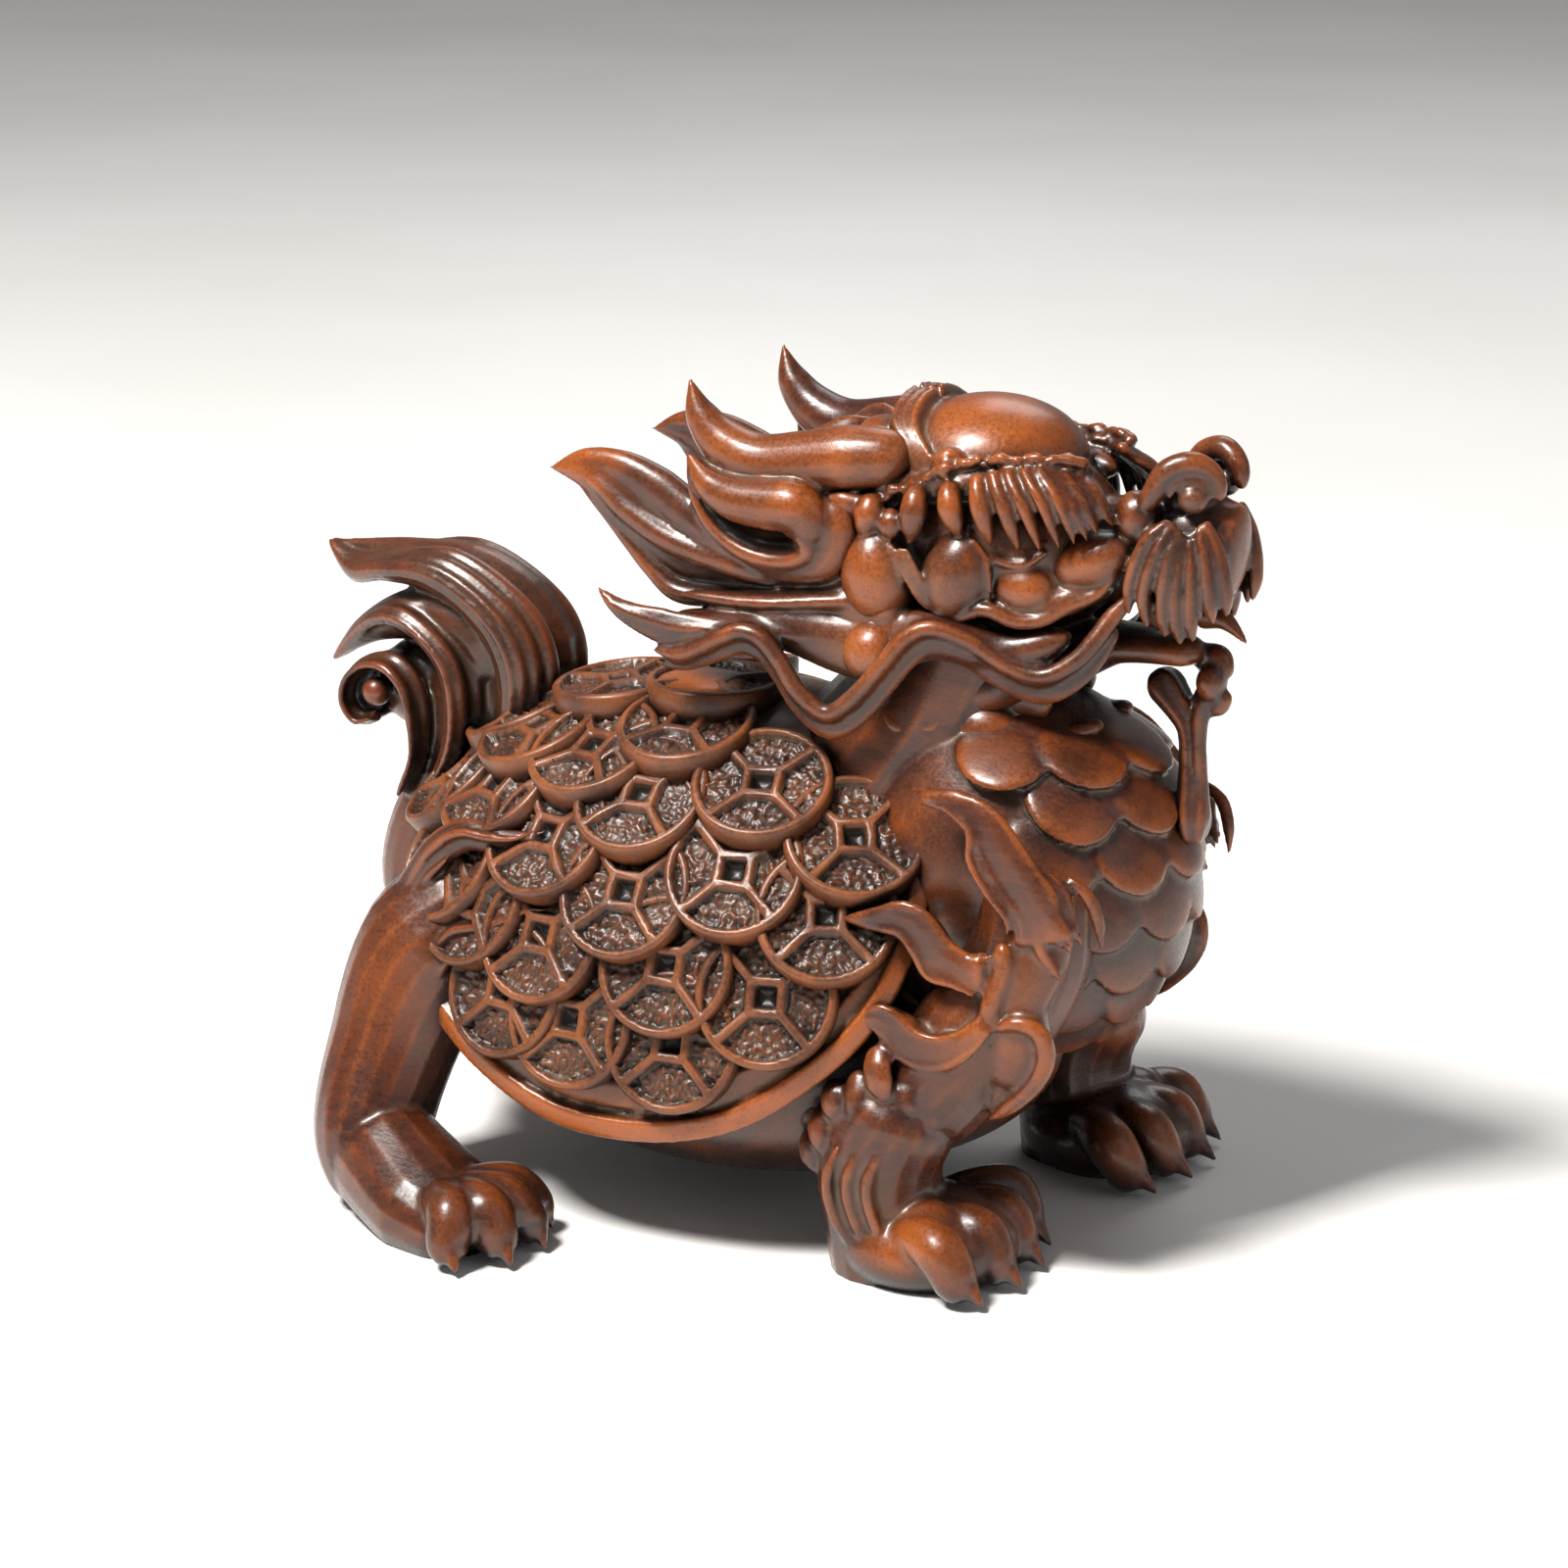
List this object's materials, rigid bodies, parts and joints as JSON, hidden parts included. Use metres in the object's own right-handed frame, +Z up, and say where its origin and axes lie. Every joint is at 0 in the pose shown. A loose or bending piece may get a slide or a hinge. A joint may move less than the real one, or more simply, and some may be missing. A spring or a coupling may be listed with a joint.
{
  "type": "dragon turtle figure",
  "caption": "Carved dark boxwood dragon turtle standing on four clawed paws, with a coin-tiled shell, scaled chest, maned dragon head and curled plume tail.",
  "frame": {"origin": "the middle of the figure's overall footprint, on the ground plane that its four paws stand on", "axes": "+X the way the animal faces, +Y its left, +Z up"},
  "size_m": [0.1036, 0.0846, 0.0864],
  "materials": {
    "boxwood": "red-brown stained boxwood, polished to a satin gloss, rubbed amber on the high edges and dusty in the cuts"
  },
  "bodies": {
    "root": {"dragon_turtle": "boxwood"}
  },
  "joints": []
}
